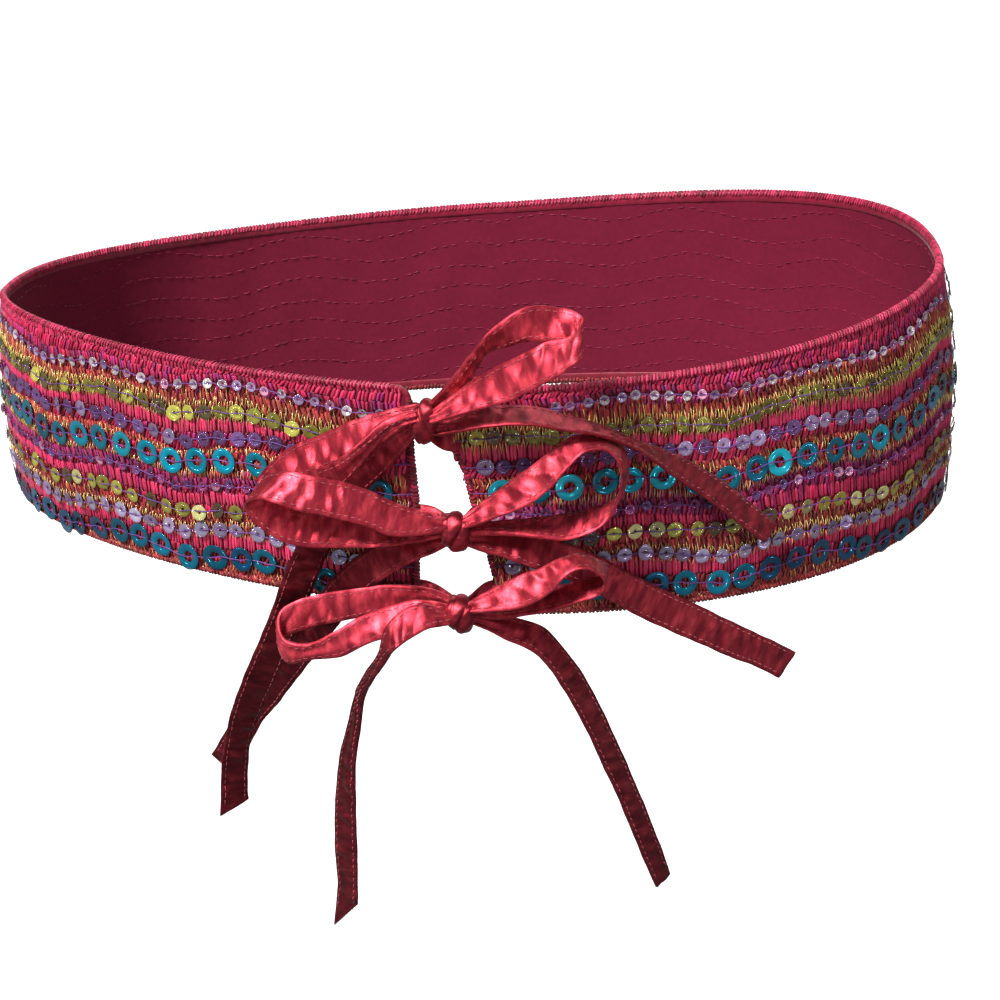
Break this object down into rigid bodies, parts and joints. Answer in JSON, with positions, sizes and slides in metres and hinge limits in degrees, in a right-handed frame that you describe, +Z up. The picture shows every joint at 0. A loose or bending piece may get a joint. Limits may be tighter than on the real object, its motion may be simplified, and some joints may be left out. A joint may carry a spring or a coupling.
{
  "type": "sequin tie belt",
  "caption": "Wide curved hip belt of embroidered cloth with rows of sequins, open at the front, where satin ties close it in bows with hanging tails.",
  "frame": {"origin": "middle of the ring that the worn band makes, at half the band's height", "axes": "+X to the wearer's left, which is the picture's right; -Y out of the front, where the ties are; +Z up"},
  "size_m": [0.3301, 0.2473, 0.2157],
  "materials": {
    "embroidered_band": "crimson cloth covered in satin stitch and rows of sequins",
    "satin_ties": "puckered red satin, topstitched near both edges"
  },
  "bodies": {
    "root": {"band": "embroidered_band", "top_knot": "satin_ties", "top_strap_left": "satin_ties", "top_strap_right": "satin_ties", "top_loop_left": "satin_ties", "top_loop_right": "satin_ties", "top_tail_left": "satin_ties", "top_tail_right": "satin_ties", "middle_knot": "satin_ties", "middle_strap_left": "satin_ties", "middle_strap_right": "satin_ties", "middle_loop_left": "satin_ties", "middle_loop_right": "satin_ties", "middle_tail_left": "satin_ties", "middle_tail_right": "satin_ties", "bottom_knot": "satin_ties", "bottom_strap_left": "satin_ties", "bottom_strap_right": "satin_ties", "bottom_loop_left": "satin_ties", "bottom_loop_right": "satin_ties", "bottom_tail_left": "satin_ties", "bottom_tail_right": "satin_ties"}
  },
  "joints": []
}
